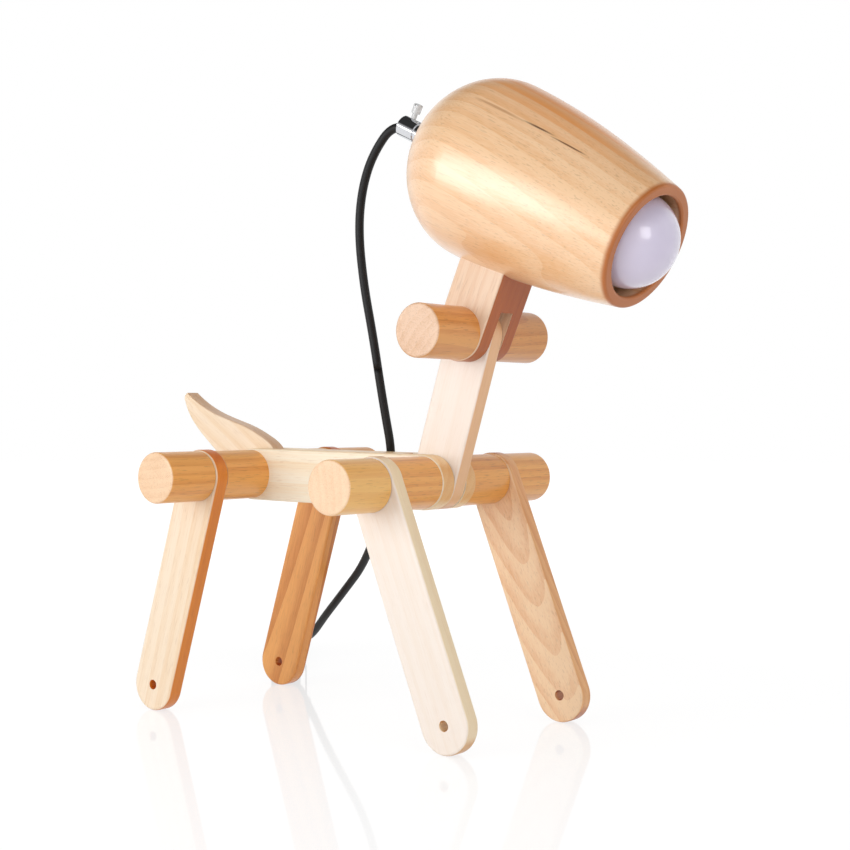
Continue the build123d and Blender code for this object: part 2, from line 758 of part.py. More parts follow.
def save_switch():
    """In-line switch on the cord, with its rocker tipped to one end."""
    along = Vector(*switch_direction).normalized()
    level = Vector(0, 0, 1).cross(along).normalized()
    frame = Plane(origin=Vector(*switch_point), x_dir=level, z_dir=along)
    low = (Align.CENTER, Align.CENTER, Align.MIN)
    block = Box(switch_width, switch_height, switch_length, align=low)
    block = fillet(block.edges().filter_by(Axis.Y), switch_corner)
    broad = block.faces().sort_by(Axis.Y)
    block = fillet(broad[0].edges() + broad[-1].edges(), switch_edge)
    room = Pos(0, 0, switch_wall) * Box(switch_width - switch_wall * 2, switch_height - switch_wall * 2,
                                        switch_length - switch_wall * 2, align=low)
    case = block - room
    sleeve = Cylinder(switch_relief_radius, switch_relief_length + switch_wall, align=low)
    for start in (-switch_relief_length, switch_length - switch_wall):
        case += Pos(0, 0, start) * sleeve
    case -= Pos(0, 0, -switch_length) * Cylinder(cord_radius + fixed_play, switch_length * 3, align=low)
    split = switch_height * (switch_split_share - 0.5)
    below = Pos(0, split, -switch_length) * Box(switch_width * 2, switch_height, switch_length * 3,
                                               align=(Align.CENTER, Align.MAX, Align.MIN))
    above_split = Pos(0, split, -switch_length) * Box(switch_width * 2, switch_height, switch_length * 3,
                                                     align=(Align.CENTER, Align.MIN, Align.MIN))
    base = case & below
    cover = case & above_split
    top = switch_height / 2
    pivot = Pos(0, top - switch_wall - rocker_pivot_depth, switch_length / 2)
    window = Box(rocker_width + rocker_play * 2, switch_wall * 4, rocker_length + rocker_play * 2)
    cover -= Pos(0, top, switch_length / 2) * window
    for way in (-1, 1):
        lug = Box(rocker_lug, rocker_lug_height, rocker_lug_height,
                  align=(Align.MIN if way > 0 else Align.MAX, Align.CENTER, Align.CENTER))
        cover += pivot * (Pos((rocker_width / 2 + rocker_side_play) * way, 0, 0) * lug)
    cover -= pivot * (Rot(0, 90, 0) * Cylinder(rocker_pin_radius + bore_play, switch_width))
    save(frame * base, "switch_base")
    save(frame * cover, "switch_cover")
    rise = switch_wall + rocker_pivot_depth + rocker_rise
    hang = (Align.CENTER, Align.MAX, Align.CENTER)
    rocker = Pos(0, rise, 0) * Box(rocker_width, rocker_depth, rocker_length, align=hang)
    rocker = fillet(rocker.edges().filter_by(Axis.X).sort_by(Axis.Y)[-2:], rocker_edge)
    rocker += Rot(0, 90, 0) * Cylinder(rocker_pin_radius, rocker_width + rocker_pin_length * 2)
    save(frame * (pivot * Rot(-rocker_turn, 0, 0) * rocker), "switch_rocker")
    contacts = []
    floor = switch_wall - switch_height / 2
    for way in (-1, 1):
        sit = (Align.CENTER, Align.MIN, Align.CENTER)
        post = Box(switch_post_width, switch_post_height, switch_post_width, align=sit)
        along_at = switch_length / 2 + switch_post_spacing / 2 * way
        contacts.append(frame * (Pos(0, floor, along_at) * post))
    save(contacts, "switch_contacts")
    spot = [round(v / 1000, 6) for v in (frame * pivot).position]
    print("rocker pivot", spot, "axis", [round(v, 6) for v in frame.x_dir])


def save_plug():
    """Two-blade plug lying on the hank."""
    frame, _, _ = hank_start()
    spot = frame.from_local_coords(Vector(plug_along, -plug_aside, plug_height))
    place = Plane(origin=spot, x_dir=frame.y_dir, z_dir=frame.x_dir)
    low = (Align.CENTER, Align.CENTER, Align.MIN)
    cone = Cone(plug_relief_radius, plug_relief_base_radius, plug_relief_length, align=low)
    cone -= Cylinder(cord_radius + fixed_play, plug_relief_length, align=low)
    save(place * cone, "plug_relief")
    body = Box(plug_width, plug_thickness, plug_length, align=low)
    body = fillet(body.edges().filter_by(Axis.Z), plug_edge)
    body = chamfer(body.faces().sort_by(Axis.Z)[0].edges(), plug_shoulder)
    blades = []
    for way in (-1, 1):
        blade = Pos(blade_spacing / 2 * way, 0, plug_length - blade_root) * Box(
            blade_thickness, blade_width, blade_root + blade_length, align=low)
        drill = Rot(0, 90, 0) * Cylinder(blade_hole_radius, plug_width * 2)
        body -= blade
        blades.append(blade - Pos(0, 0, plug_length + blade_length - blade_hole_from_tip) * drill)
    save(place * (Pos(0, 0, plug_relief_length) * body), "plug_body")
    save([place * (Pos(0, 0, plug_relief_length) * blade) for blade in blades], "plug_blades")


save_trunk()
save_boards()
save_head()
save_fittings()
save_holder()
save_bulb()
save_cords()
save_hank()
save_switch()
save_plug()
for label, point in (("rear", rear_axle), ("front", front_axle), ("head", head_axle), ("rim", rim)):
    print(label, [round(v / 1000, 6) for v in point])
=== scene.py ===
"""Jointed wooden table lamp: finishes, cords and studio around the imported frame."""

import json
import logging
import math
from abc import ABC, abstractmethod
from dataclasses import dataclass, field, replace
from enum import Enum

import bmesh
import bpy
from mathutils import Matrix, Vector


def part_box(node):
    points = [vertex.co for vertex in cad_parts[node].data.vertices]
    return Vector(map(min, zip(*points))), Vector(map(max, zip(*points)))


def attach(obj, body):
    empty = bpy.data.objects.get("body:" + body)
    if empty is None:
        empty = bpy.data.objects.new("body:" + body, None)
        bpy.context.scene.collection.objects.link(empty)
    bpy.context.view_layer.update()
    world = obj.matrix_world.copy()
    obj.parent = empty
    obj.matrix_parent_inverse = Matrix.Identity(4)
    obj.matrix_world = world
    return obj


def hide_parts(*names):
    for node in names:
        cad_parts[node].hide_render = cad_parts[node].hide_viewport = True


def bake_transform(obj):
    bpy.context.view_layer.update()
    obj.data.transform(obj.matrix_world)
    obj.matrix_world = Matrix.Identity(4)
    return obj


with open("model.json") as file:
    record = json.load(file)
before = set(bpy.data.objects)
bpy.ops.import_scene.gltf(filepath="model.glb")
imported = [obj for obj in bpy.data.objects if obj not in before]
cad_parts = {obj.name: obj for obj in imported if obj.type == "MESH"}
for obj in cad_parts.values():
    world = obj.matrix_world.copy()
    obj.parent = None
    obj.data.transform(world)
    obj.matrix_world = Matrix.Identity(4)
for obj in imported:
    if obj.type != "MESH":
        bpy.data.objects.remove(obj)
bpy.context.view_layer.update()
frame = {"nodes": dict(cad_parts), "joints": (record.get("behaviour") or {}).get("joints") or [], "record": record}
LOG = logging.getLogger("lamp")
MM = 0.001
WHITE = (1.0, 1.0, 1.0, 1.0)
# Length in metres after which a wave texture of scale one repeats.
WAVE_PERIOD = 0.314159
# Sockets of the Mix node, which share their names: factor, two colours and their result, two numbers.
FACTOR, COLOUR_A, COLOUR_B, COLOUR_OUT = 0, 6, 7, 2
NUMBER_A, NUMBER_B = 2, 3
# Node settings that come up often.
RGBA = {"data_type": "RGBA"}
SMOOTHSTEP = {"interpolation_type": "SMOOTHSTEP"}
MULTIPLY = {"operation": "MULTIPLY"}

Triple = tuple[float, float, float]
Turns = tuple[tuple[str, float], ...]
Material = bpy.types.Material
Node = bpy.types.Node
Piece = bpy.types.Object
Socket = bpy.types.NodeSocket
Tree = bpy.types.NodeTree


def srgb(code: str) -> tuple[float, float, float, float]:
    """Turn an sRGB hex colour into linear values.

    Args:
        code: Six hex digits with a leading hash.

    Returns:
        Linear red, green, blue and an alpha of one.
    """
    parts = [int(code[i:i + 2], 16) / 255 for i in (1, 3, 5)]
    linear = (c / 12.92 if c <= 0.04045 else ((c + 0.055) / 1.055) ** 2.4 for c in parts)
    return tuple(linear) + (1.0,)


def per_mm(size_mm: float) -> float:
    """Find the texture scale in metre space for a real size.

    Args:
        size_mm: Size of one feature in millimetres.

    Returns:
        The scale.
    """
    return 1 / (size_mm * MM)


def feed(tree: Tree, node: Node, inputs: dict) -> None:
    """Set or link a node's inputs.

    Args:
        tree: Tree that holds the node.
        node: Node to feed.
        inputs: Values or linked output sockets by input name or number.
    """
    for name, value in inputs.items():
        if isinstance(value, Socket):
            tree.links.new(value, node.inputs[name])
        else:
            node.inputs[name].default_value = value


def add_node(tree: Tree, kind: str, settings: dict | None = None, inputs: dict | None = None) -> Node:
    """Add one shader node with its settings and its inputs.

    Args:
        tree: Tree that takes the node.
        kind: Node type name after the word ShaderNode.
        settings: Values of the node's own properties.
        inputs: Values or linked output sockets by input name or number.

    Returns:
        The new node.
    """
    node = tree.nodes.new(f"ShaderNode{kind}")
    for name, value in (settings or {}).items():
        setattr(node, name, value)
    feed(tree, node, inputs or {})
    return node


def blank_material(name: str) -> tuple[Material, Tree, Node]:
    """Make an empty node material with its surface shader.

    Args:
        name: Material name.

    Returns:
        The material, its tree and its Principled shader.
    """
    material = bpy.data.materials.new(name)
    material.use_nodes = True
    tree = material.node_tree
    tree.nodes.clear()
    shader = add_node(tree, "BsdfPrincipled")
    add_node(tree, "OutputMaterial", inputs={"Surface": shader.outputs[0]})
    return material, tree, shader


def squareness(tree: Tree, normal: Socket, way: Vector | Triple) -> Socket:
    """Measure how squarely a face looks along a line.

    Args:
        tree: Tree that takes the nodes.
        normal: Normal of the face.
        way: Direction of the line.

    Returns:
        One on a face square to the line, zero on a face along it.
    """
    dot = add_node(tree, "VectorMath", {"operation": "DOT_PRODUCT"}, {0: normal, 1: way})
    size = add_node(tree, "Math", {"operation": "ABSOLUTE"}, {0: dot.outputs["Value"]})
    return size.outputs[0]


class Side(Enum):
    """Side of the lamp, with its sign along Y."""

    RIGHT = -1
    LEFT = 1

    @property
    def word(self) -> str:
        """Name used in the frame's nodes."""
        return self.name.lower()


class Lay(Enum):
    """How a stretch of cord lies."""

    HANGING = "hanging"
    COILED = "coiled"


@dataclass(frozen=True)
class Grain:
    """Sockets that drive the looks of one piece of wood, and the tree that holds them."""

    tree: Tree
    # Place in the lamp's frame.
    where: Socket
    # Dark part of each ring, broad clouds, fine threads, and dark vessels.
    band: Socket
    cloud: Socket
    fibre: Socket
    pores: Socket
    # How far a face is end grain, and how far it is an edge that gets painted shade.
    end: Socket
    edge: Socket


@dataclass(frozen=True)
class Streak:
    """Mineral line, brown rim or deeper patch in the wood; the rim and the patch also carry painted shade.

    The centre is in metres in the lamp's frame, the half sizes are across and along the line.
    """

    centre: Triple
    way: Triple
    across_mm: float
    along_mm: float
    colour: str
    depth: float
    # Share of the lacquer that has sunk in there.
    sunk: float = 0.0
    # Whether it is deeper along the dark bands than between them.
    banded: bool = False

    def weight(self, look: Grain) -> Socket:
        """Find how strongly the streak shows at each place.

        Args:
            look: Grain of the piece.

        Returns:
            Zero outside the streak, up to its depth inside.
        """
        tree = look.tree
        wide, long = self.across_mm * MM, self.along_mm * MM
        spot = add_node(tree, "Mapping", {"vector_type": "TEXTURE"}, {
            "Vector": look.where,
            "Location": self.centre,
            "Rotation": Vector(self.way).to_track_quat("Z", "Y").to_euler(),
            "Scale": (wide, wide, long),
        }).outputs[0]
        fade = add_node(tree, "TexGradient", {"gradient_type": "SPHERICAL"},
                        {"Vector": spot}).outputs["Fac"]
        if self.banded:
            vein = add_node(tree, "MapRange", inputs={
                "Value": look.band, "To Min": 0.8, "To Max": 1.25,
            }).outputs[0]
            fade = add_node(tree, "Math", MULTIPLY, {0: fade, 1: vein}).outputs[0]
        return add_node(tree, "MapRange", SMOOTHSTEP, {
            "Value": fade, "From Max": 0.75, "To Max": self.depth,
        }).outputs[0]


@dataclass(frozen=True)
class LacqueredRubberwood:
    """Rubberwood, planed or turned, under clear lacquer: pale bands, fine pores, a soft sheen."""

    pale: str
    deep: str
    pore: str
    # Painted shade: tint of the sawn edges, or of a dowel's round side, deeper than the faces as if turned from
    # the light.
    edge: str = "#ffffff"
    face: Triple = (0.0, 1.0, 0.0)
    # Tint of the end grain.
    end: str = "#ffffff"
    ring_mm: float = 5.0
    ring_depth: float = 0.55
    # Share of the rings' depth that is left on the end grain.
    end_ring_share: float = 1.0
    # How much longer the pattern is along the log than across it.
    log_stretch: float = 14.0
    cloud_mm: float = 26.0
    fibre_mm: float = 1.1
    # Real pores are about 0.2 mm wide, too fine to show: they are drawn coarser.
    pore_mm: float = 0.7
    pore_depth: float = 0.16
    wander: float = 5.0
    roughness: float = 0.42
    ior: float = 1.5
    coat: float = 0.3
    coat_roughness: float = 0.25
    coat_ior: float = 1.5

    def cut(
        self, name: str, origin: Vector, along: Vector, heart: Vector, streaks: tuple[Streak, ...] = ()
    ) -> Material:
        """Make the wood of one piece, cut from its own place in the log.

        Args:
            name: Material name.
            origin: Point of the piece in the lamp's frame.
            along: Direction of the fibres.
            heart: Offset from the point to the log's heart line.
            streaks: Lines and patches in this piece.

        Returns:
            The material.
        """
        material, tree, shader = blank_material(name)
        look = self.grain(tree, origin, along.normalized(), heart)
        colour, lacquer = self.marked(look, self.tone(look), streaks)
        gloss = add_node(tree, "MapRange", inputs={
            "Value": look.fibre, "To Min": self.roughness - 0.06, "To Max": self.roughness + 0.08,
        }).outputs[0]
        relief = add_node(tree, "Math", {"operation": "SUBTRACT"},
                          {0: look.fibre, 1: look.pores}).outputs[0]
        bump = add_node(tree, "Bump", inputs={
            "Height": relief, "Strength": 0.12, "Distance": 0.05 * MM,
        }).outputs[0]
        feed(tree, shader, {
            "Base Color": self.tinted(look, colour),
            "Roughness": gloss,
            "Normal": bump,
            "IOR": self.ior,
            "Coat Weight": lacquer,
            "Coat Roughness": self.coat_roughness,
            "Coat IOR": self.coat_ior,
        })
        return material

    def grain(self, tree: Tree, origin: Vector, along: Vector, heart: Vector) -> Grain:
        """Lay the log's pattern through one piece.

        Args:
            tree: Tree that takes the nodes.
            origin: Point of the piece in the lamp's frame.
            along: Direction of the fibres, of length one.
            heart: Offset from the point to the log's heart line.

        Returns:
            The pattern's sockets.
        """
        place = add_node(tree, "TexCoord").outputs
        log = add_node(tree, "Mapping", {"vector_type": "TEXTURE"}, {
            "Vector": place["Object"],
            "Location": origin + heart,
            "Rotation": along.to_track_quat("Z", "Y").to_euler(),
            "Scale": (1, 1, self.log_stretch),
        }).outputs[0]
        ring = add_node(
            tree, "TexWave",
            {"wave_type": "RINGS", "rings_direction": "Z", "wave_profile": "SAW"},
            {"Vector": log, "Scale": WAVE_PERIOD * per_mm(self.ring_mm), "Distortion": self.wander,
             "Detail": 2.5, "Detail Scale": 0.35, "Detail Roughness": 0.55},
        ).outputs["Fac"]
        band = add_node(tree, "MapRange", SMOOTHSTEP, {
            "Value": ring, "From Min": 0.2, "From Max": 0.95,
        }).outputs[0]
        cloud = add_node(tree, "TexNoise", inputs={
            "Vector": log, "Scale": per_mm(self.cloud_mm), "Detail": 3.0,
        }).outputs["Fac"]
        # Threads run still longer along the log than the rings do.
        drawn_out = add_node(tree, "VectorMath", MULTIPLY, {0: log, 1: (1, 1, 0.35)}).outputs[0]
        fibre = add_node(tree, "TexNoise", inputs={
            "Vector": drawn_out, "Scale": per_mm(self.fibre_mm), "Detail": 4.0, "Roughness": 0.6,
        }).outputs["Fac"]
        vessel = add_node(tree, "TexNoise", inputs={
            "Vector": log, "Scale": per_mm(self.pore_mm), "Detail": 1.0,
        }).outputs["Fac"]
        pores = add_node(tree, "MapRange", inputs={
            "Value": vessel, "From Min": 0.31, "From Max": 0.4, "To Min": 1.0, "To Max": 0.0,
        }).outputs[0]
        end = add_node(tree, "MapRange", SMOOTHSTEP, {
            "Value": squareness(tree, place["Normal"], along), "From Min": 0.6, "From Max": 0.9,
        }).outputs[0]
        # Painted shade: mask of the faces turned away from the board's face.
        edge = add_node(tree, "MapRange", SMOOTHSTEP, {
            "Value": squareness(tree, place["Normal"], self.face),
            "From Min": 0.35, "From Max": 0.85, "To Min": 1.0, "To Max": 0.0,
        }).outputs[0]
        return Grain(tree, place["Object"], band, cloud, fibre, pores, end, edge)

    def tone(self, look: Grain) -> Socket:
        """Mix the pale and the deep tone along the grain and set in the pores.

        Args:
            look: Grain of the piece.

        Returns:
            The bare wood's colour.
        """
        tree = look.tree
        depth =add_node(tree, "MapRange", inputs={
            "Value": look.end,
            "To Min": self.ring_depth, "To Max": self.ring_depth * self.end_ring_share,
        }).outputs[0]
        amount = add_node(tree, "Math", MULTIPLY, {0: look.band, 1: depth}).outputs[0]
        shift = add_node(tree, "MapRange", inputs={
            "Value": look.cloud, "From Min": 0.3, "From Max": 0.7, "To Min": -0.14, "To Max": 0.3,
        }).outputs[0]
        amount = add_node(tree, "Math", {"operation": "ADD"}, {0: amount, 1: shift}).outputs[0]
        thread = add_node(tree, "MapRange", inputs={
            "Value": look.fibre, "From Min": 0.32, "From Max": 0.68, "To Min": -0.16, "To Max": 0.16,
        }).outputs[0]
        amount = add_node(tree, "Math", {"operation": "ADD", "use_clamp": True},
                          {0: amount, 1: thread}).outputs[0]
        colour = add_node(tree, "Mix", RGBA, {
            FACTOR: amount, COLOUR_A: srgb(self.pale), COLOUR_B: srgb(self.deep),
        }).outputs[COLOUR_OUT]
        fleck = add_node(tree, "Math", MULTIPLY, {0: look.pores, 1: self.pore_depth}).outputs[0]
        return add_node(tree, "Mix", RGBA, {
            FACTOR: fleck, COLOUR_A: colour, COLOUR_B: srgb(self.pore),
        }).outputs[COLOUR_OUT]

    def marked(
        self, look: Grain, colour: Socket, streaks: tuple[Streak, ...]
    ) -> tuple[Socket, Socket | float]:
        """Lay the streaks over the wood.

        Args:
            look: Grain of the piece.
            colour: Colour of the wood.
            streaks: Lines and patches in this piece.

        Returns:
            The colour with the streaks, and the weight of the lacquer.
        """
        lacquer = self.coat
        for streak in streaks:
            mark = streak.weight(look)
            colour = add_node(look.tree, "Mix", RGBA, {
                FACTOR: mark, COLOUR_A: colour, COLOUR_B: srgb(streak.colour),
            }).outputs[COLOUR_OUT]
            lacquer = add_node(look.tree, "Mix", inputs={
                FACTOR: mark, NUMBER_A: lacquer, NUMBER_B: self.coat * (1 - streak.sunk),
            }).outputs[0]
        return colour, lacquer

    def tinted(self, look: Grain, colour: Socket) -> Socket:
        """Paint shade onto the edges and tint the end grain.

        Args:
            look: Grain of the piece.
            colour: Colour of the faces.

        Returns:
            The colour of the whole piece.
        """
        for share, tint in ((look.edge, self.edge), (look.end, self.end)):
            colour = add_node(look.tree, "Mix", RGBA | {"blend_type": "MULTIPLY"}, {
                FACTOR: share, COLOUR_A: colour, COLOUR_B: srgb(tint),
            }).outputs[COLOUR_OUT]
        return colour


@dataclass(frozen=True)
class SharedFinish(ABC):
    """Finish that is the same on every piece."""

    name: str

    @abstractmethod
    def make(self) -> Material:
        """Make the material.

        Returns:
            The new material.
        """

    @property
    def material(self) -> Material:
        """The finish's one material, made when it is first asked for."""
        return bpy.data.materials.get(self.name) or self.make()


@dataclass(frozen=True)
class WornFinish(SharedFinish):
    """Even finish with broad worn patches and a fine grit."""

    colour: str
    worn: str
    roughness: float
    wear_mm: float = 14.0
    wear_detail: float = 4.0
    # How rough the fresh and the worn patches are beside the mean.
    wear_span: tuple[float, float] = (0.85, 1.15)
    grit_mm: float = 0.5
    relief: float = 0.08
    relief_mm: float = 0.05

    @abstractmethod
    def surface(self) -> dict[str, float | Triple]:
        """List the shader's plain values.

        Returns:
            Values by input name.
        """

    def make(self) -> Material:
        """Make the material.

        Returns:
            The new material.
        """
        material, tree, shader = blank_material(self.name)
        where = add_node(tree, "TexCoord").outputs["Object"]
        wear = add_node(tree, "TexNoise", inputs={
            "Vector": where, "Scale": per_mm(self.wear_mm), "Detail": self.wear_detail,
        }).outputs["Fac"]
        grit = add_node(tree, "TexNoise", inputs={
            "Vector": where, "Scale": per_mm(self.grit_mm), "Detail": 2.0,
        }).outputs["Fac"]
        colour = add_node(tree, "Mix", RGBA, {
            FACTOR: wear, COLOUR_A: srgb(self.colour), COLOUR_B: srgb(self.worn),
        }).outputs[COLOUR_OUT]
        fresh, worn = (self.roughness * share for share in self.wear_span)
        rough = add_node(tree, "MapRange", inputs={
            "Value": wear, "To Min": fresh, "To Max": worn,
        }).outputs[0]
        bump = add_node(tree, "Bump", inputs={
            "Height": grit, "Strength": self.relief, "Distance": self.relief_mm * MM,
        }).outputs[0]
        feed(tree, shader, {"Base Color": colour, "Roughness": rough, "Normal": bump} | self.surface())
        return material


@dataclass(frozen=True)
class MachinedMetal(WornFinish):
    """Bare or plated metal, turned or drawn: fine tool marks and slight tarnish."""

    wear_mm: float = 9.0
    wear_detail: float = 3.0
    wear_span: tuple[float, float] = (0.8, 1.3)
    grit_mm: float = 0.4
    relief: float = 0.05
    relief_mm: float = 0.02

    def surface(self) -> dict[str, float | Triple]:
        """List the metal's plain values.

        Returns:
            Values by input name.
        """
        return {"Metallic": 1.0}


@dataclass(frozen=True)
class MouldedPlastic(WornFinish):
    """Moulded plastic: even colour with a fine spark-eroded grit and handling marks."""

    ior: float = 1.5
    coat: float = 0.0
    clear: float = 0.0
    # Share of the light that spreads inside, and how far it gets.
    glow: float = 0.0
    glow_mm: float = 4.0

    def surface(self) -> dict[str, float | Triple]:
        """List the plastic's plain values.

        Returns:
            Values by input name.
        """
        values = {"IOR": self.ior, "Coat Weight": self.coat, "Transmission Weight": self.clear}
        if self.glow:
            values["Subsurface Weight"] = self.glow
            values["Subsurface Radius"] = (self.glow_mm * MM,) * 3
            values["Subsurface Scale"] = 1.0
        return values


@dataclass(frozen=True)
class WovenTape(SharedFinish):
    """Woven nylon tape: a plain weave of dull threads."""

    colour: str
    gap: str
    thread_mm: float = 1.1

    def make(self) -> Material:
        """Make the tape.

        Returns:
            The new material.
        """
        material, tree, shader = blank_material(self.name)
        where = add_node(tree, "TexCoord").outputs["Object"]
        scale = WAVE_PERIOD * per_mm(self.thread_mm)
        warp, weft = (
            add_node(tree, "TexWave", {"bands_direction": way},
                     {"Vector": where, "Scale": scale}).outputs["Fac"]
            for way in ("Z", "DIAGONAL")
        )
        weave = add_node(tree, "Math", MULTIPLY, {0: warp, 1: weft}).outputs[0]
        colour = add_node(tree, "Mix", RGBA, {
            FACTOR: weave, COLOUR_A: srgb(self.gap), COLOUR_B: srgb(self.colour),
        }).outputs[COLOUR_OUT]
        bump = add_node(tree, "Bump", inputs={
            "Height": weave, "Strength": 0.5, "Distance": 0.2 * MM,
        }).outputs[0]
        feed(tree, shader, {"Base Color": colour, "Normal": bump, "Roughness": 0.85})
        return material


# Sapwood boards, planed: almost cream, with hardly any bands or pores, and a faint painted shade on the edges.
CREAM_BOARD = LacqueredRubberwood(
    pale="#f9ede2", deep="#f1dfcd", pore="#c9a47c", edge="#fff4d6", end="#e4bc88",
    ring_mm=7.0, ring_depth=0.25, pore_depth=0.08,
)
# The same sapwood with a peach painted shade on its edges.
NECK_BOARD = replace(CREAM_BOARD, edge="#f8d0a6")
# Planed boards: pale peach under the lacquer, with an orange painted shade on the edges and faint brown pores.
PALE_BOARD = LacqueredRubberwood(
    pale="#f8e4cb", deep="#ecca9f", pore="#b07a44", edge="#ee9a1e", end="#f2dcc0",
    ring_mm=6.5, ring_depth=0.35,
)
# Thick block: straw, lighter than the boards, with only a faint painted shade on its edges.
SPINE_BLOCK = replace(PALE_BOARD, pale="#fff6e2", deep="#f6dab0", edge="#fae2c0")
# Pale board with a soft pinkish painted shade on its edges.
TAIL_BOARD = replace(PALE_BOARD, edge="#ead4c2")
# Boards cut nearer the heart: golden tan, with darker flames and a faint painted shade on the edges.
TAN_BOARD = LacqueredRubberwood(
    pale="#f6b062", deep="#ca772b", pore="#75441c", edge="#fff0cc", end="#dfb080",
    ring_mm=8.0, ring_depth=0.6,
)
# Flat sawn board: pinkish tan, with arched lines and a light painted shade on the edges.
ROSE_BOARD = LacqueredRubberwood(
    pale="#ffdcb4", deep="#e6a66e", pore="#84481e", edge="#f0d2ac", end="#cf9f78",
    ring_mm=5.5, ring_depth=0.4, wander=7.0,
)
# Fork block: peach faces, with a brown painted shade on the sawn front.
FORK_BLOCK = LacqueredRubberwood(
    pale="#f3d8bd", deep="#e3b88e", pore="#94602f", edge="#bc6e22",
    ring_mm=6.0, ring_depth=0.3, coat=0.1,
)
# Round stock from pale wood: peach end grain, with a straw painted shade on the round sides.
STRAW_DOWEL = LacqueredRubberwood(
    pale="#f6d2ac", deep="#e4ab74", pore="#7c4a20", edge="#ffeaa4",
    ring_mm=6.0, ring_depth=0.3, end_ring_share=0.45, pore_depth=0.2, coat=0.5,
)
# Round stock from nearer the heart: peach end grain, with a golden brown painted shade on the round sides, and
# darker flames.
HONEY_DOWEL = LacqueredRubberwood(
    pale="#f4cfa9", deep="#d69a5e", pore="#6e3f1a", edge="#ffd888",
    ring_mm=6.0, ring_depth=0.45, end_ring_share=0.35, pore_depth=0.25, coat=0.5,
)
# The same round stock, a shade browner.
HEAD_DOWEL = replace(HONEY_DOWEL, pale="#e6bf9e", deep="#c88e56")
# Turned shade: polished lacquer over golden bands that run along the axis.
TURNED_SHADE = LacqueredRubberwood(
    pale="#ffd4a6", deep="#eaa560", pore="#84502a",
    ring_mm=9.0, ring_depth=0.3, pore_depth=0.2, wander=9.0,
    roughness=0.36, coat=1.0, coat_roughness=0.27, coat_ior=1.82,
)
# Rods, screws and nuts: bluish grey, half bright.
ZINC_STEEL = MachinedMetal("Zinc plated steel", "#b9bcc0", "#9fa2a6", 0.32)
# Cord grip: a bright mirror.
CHROME = MachinedMetal("Chrome plated brass", "#dcdde0", "#cfd0d4", 0.09, relief=0.02)
# Inserts, contacts and blades: warm yellow, slightly dulled.
BRASS = MachinedMetal("Turned brass", "#c9a14e", "#a57e38", 0.3)
# Bulb cap: pale grey, satin.
CAP_METAL = MachinedMetal("Drawn aluminium cap", "#c4c6c9", "#aeb0b4", 0.35)
# Washers: dull red-brown.
FIBRE = MouldedPlastic("Vulcanised fibre", "#5a4034", "#6b4e3f", 0.75, grit_mm=0.8, relief=0.2)
# Thumb screw: milky clear, with sharp highlights.
CLEAR_NYLON = MouldedPlastic("Clear nylon", "#f1f2f3", "#e2e4e6", 0.16, clear=0.55, ior=1.53)
# Lamp holder: satin black.
BLACK_HOLDER = MouldedPlastic("Black moulded thermoset", "#161616", "#222120", 0.42)
# Bulb dome: milky white with a lilac cast and a small highlight.
FROSTED_DOME = MouldedPlastic(
    "Frosted polycarbonate", "#dad0ec", "#e2d9f0", 0.34,
    grit_mm=0.3, relief=0.03, ior=1.58, coat=1.0, glow=0.35,
)
# Inside of the bulb: plain whites.
WHITE_HOUSING = MouldedPlastic("White ABS housing", "#eceae8", "#dedbd8", 0.4)
LED_BOARD = MouldedPlastic("White lacquered circuit board", "#e8e8e2", "#d8d8cf", 0.5)
# Cord: deep black with a dull sheen.
CORD_SKIN = MouldedPlastic(
    "Black flexible PVC", "#040406", "#0a090c", 0.52, grit_mm=1.2, relief=0.12, ior=1.42,
)
# Switch and plug: black, a little glossier than the cord.
BLACK_CASE = MouldedPlastic("Black ABS", "#1a1a1b", "#262626", 0.38)
# Tie: dull black with a visible weave.
TIE_TAPE = WovenTape("Black woven tie", "#232323", "#0c0c0c")


def dress(material: Material, *nodes: str) -> None:
    """Give frame nodes their finish.

    Args:
        material: Finish for all their faces.
        nodes: Node names.
    """
    for node in nodes:
        mesh = frame["nodes"][node].data
        mesh.materials.clear()
        mesh.materials.append(material)
        LOG.info("dressed %s in %s", node, material.name)


def middle(node: str) -> Vector:
    """Find the middle of a node's box at rest.

    Args:
        node: Node name.

    Returns:
        The point.
    """
    low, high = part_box(node)
    return (low + high) / 2


def joint_vector(name: str, key: str = "pos_m") -> Vector:
    """Read a point or a direction of a joint at rest.

    Args:
        name: Joint name.
        key: Its pos_m or its axis.

    Returns:
        The vector.
    """
    return next(Vector(j[key]) for j in frame["joints"] if j["name"] == name)


